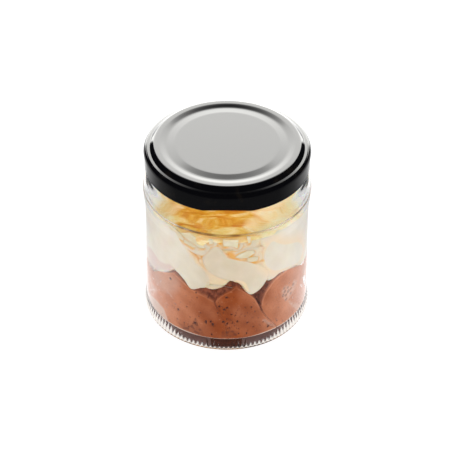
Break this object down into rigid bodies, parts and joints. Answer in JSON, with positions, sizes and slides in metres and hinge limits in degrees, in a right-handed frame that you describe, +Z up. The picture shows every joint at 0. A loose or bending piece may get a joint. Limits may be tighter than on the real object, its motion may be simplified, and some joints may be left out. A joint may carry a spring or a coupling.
{
  "type": "layered chocolate mousse dessert in a lidded glass jar",
  "caption": "Layered mousse dessert in a straight clear jar with a black twist-off lid: chocolate mousse below, ivory cream above, golden sauce on top.",
  "frame": {"origin": "centre of the jar's base, on the surface it stands on", "axes": "+Z up along the jar's axis, -Y towards the side that is shown in front, +X to its right"},
  "size_m": [0.0748, 0.075, 0.0894],
  "materials": {
    "clear_glass": "gloss",
    "black_lacquer": "gloss",
    "chocolate_mousse": "soft satin",
    "ivory_cream": "soft satin",
    "golden_sauce": "wet gloss",
    "ivory_flakes": "satin"
  },
  "bodies": {
    "root": {"jar": "clear_glass", "lid": "black_lacquer", "chocolate_mousse": "chocolate_mousse", "cream": "ivory_cream", "golden_sauce": "golden_sauce"}
  },
  "joints": []
}
